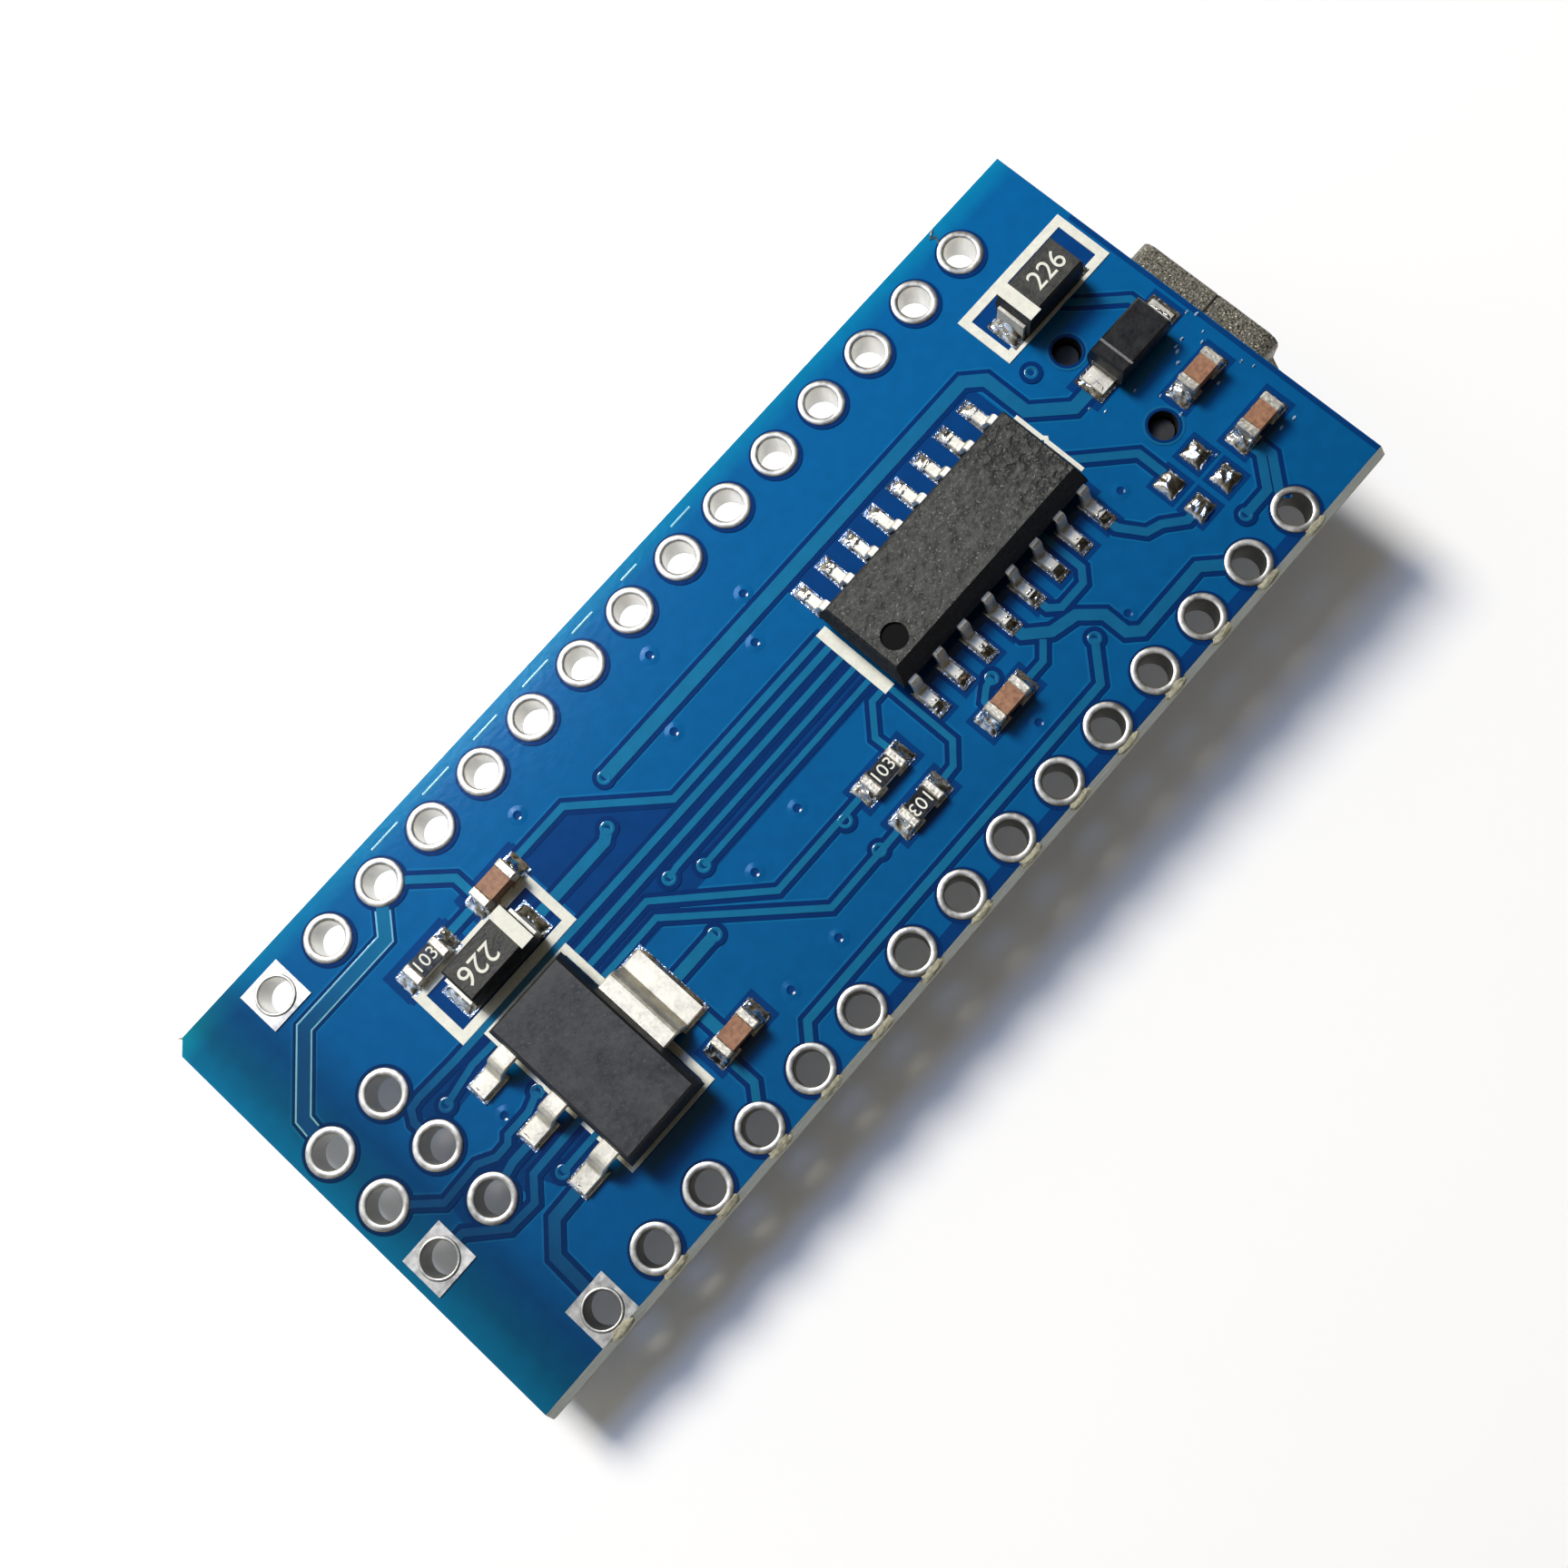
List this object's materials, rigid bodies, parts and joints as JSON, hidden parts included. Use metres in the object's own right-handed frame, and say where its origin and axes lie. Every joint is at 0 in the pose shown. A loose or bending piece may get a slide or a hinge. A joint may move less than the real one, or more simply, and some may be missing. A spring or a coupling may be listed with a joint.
{
  "type": "microcontroller board",
  "caption": "Small blue microcontroller board with two rows of header holes, a USB socket, chips on both faces and a reset push switch.",
  "frame": {"origin": "middle of the two header rows, on the face of the pin side", "axes": "+Z out of the pin side, +X along the header rows towards the USB socket, +Y across the board"},
  "size_m": [0.0445, 0.018, 0.0069],
  "materials": {
    "solder_mask_laminate": "gloss blue solder mask over glass-epoxy laminate",
    "tinned_copper": "hot-air levelled solder on copper",
    "moulded_epoxy": "matt black moulded epoxy",
    "tin_plated_leads": "matt tin plate on copper alloy",
    "capacitor_ceramic": "fired brown ceramic",
    "alumina": "white fired alumina",
    "resistor_glaze": "black glaze coat",
    "nickel_steel": "nickel-plated folded steel sheet",
    "socket_plastic": "black moulded nylon",
    "gold_contacts": "gold flash on copper alloy",
    "crystal_ceramic": "dark fired ceramic",
    "quartz": "lapped quartz",
    "lid_metal": "bright metal lid",
    "switch_nylon": "black moulded nylon",
    "switch_steel": "stamped stainless steel",
    "plunger_plastic": "white moulded plastic",
    "lamp_base": "white laminate",
    "lamp_lens": "clear yellowish epoxy"
  },
  "bodies": {
    "board_assembly": {"board": "solder_mask_laminate", "header_plated_holes": "tinned_copper", "isp_plated_holes": "tinned_copper", "solder_lands_top": "tinned_copper", "solder_lands_under": "tinned_copper", "spare_solder_pads": "tinned_copper", "serial_chip_body": "moulded_epoxy", "regulator_body": "moulded_epoxy", "controller_body": "moulded_epoxy", "diode_body": "moulded_epoxy", "tantalum_bodies": "moulded_epoxy", "serial_chip_leads": "tin_plated_leads", "regulator_leads": "tin_plated_leads", "regulator_tab": "tin_plated_leads", "tantalum_terminals": "tin_plated_leads", "diode_leads": "tin_plated_leads", "controller_leads": "tin_plated_leads", "switch_terminals": "tin_plated_leads", "ceramic_capacitor_ends": "tin_plated_leads", "chip_resistor_ends": "tin_plated_leads", "array_ends": "tin_plated_leads", "under_capacitor_ends": "tin_plated_leads", "ceramic_capacitor_bodies": "capacitor_ceramic", "under_capacitor_bodies": "capacitor_ceramic", "chip_resistor_bodies": "alumina", "array_bodies": "alumina", "chip_resistor_coats": "resistor_glaze", "array_coats": "resistor_glaze", "usb_shell": "nickel_steel", "usb_insulator": "socket_plastic", "usb_contact_strips": "gold_contacts", "led_ends": "gold_contacts", "crystal_bases": "crystal_ceramic", "crystal_blanks": "quartz", "crystal_lids": "lid_metal", "switch_housing": "switch_nylon", "switch_cover": "switch_steel", "switch_dome": "switch_steel", "led_bases": "lamp_base", "led_lenses": "lamp_lens"},
    "reset_button": {"switch_plunger": "plunger_plastic"}
  },
  "joints": [
    {"name": "reset_press", "type": "slide", "parent": "board_assembly", "child": "reset_button", "axis": [0, 0, 1], "range_m": [0, 0.00025], "stiffness_N_per_m": 6400}
  ]
}
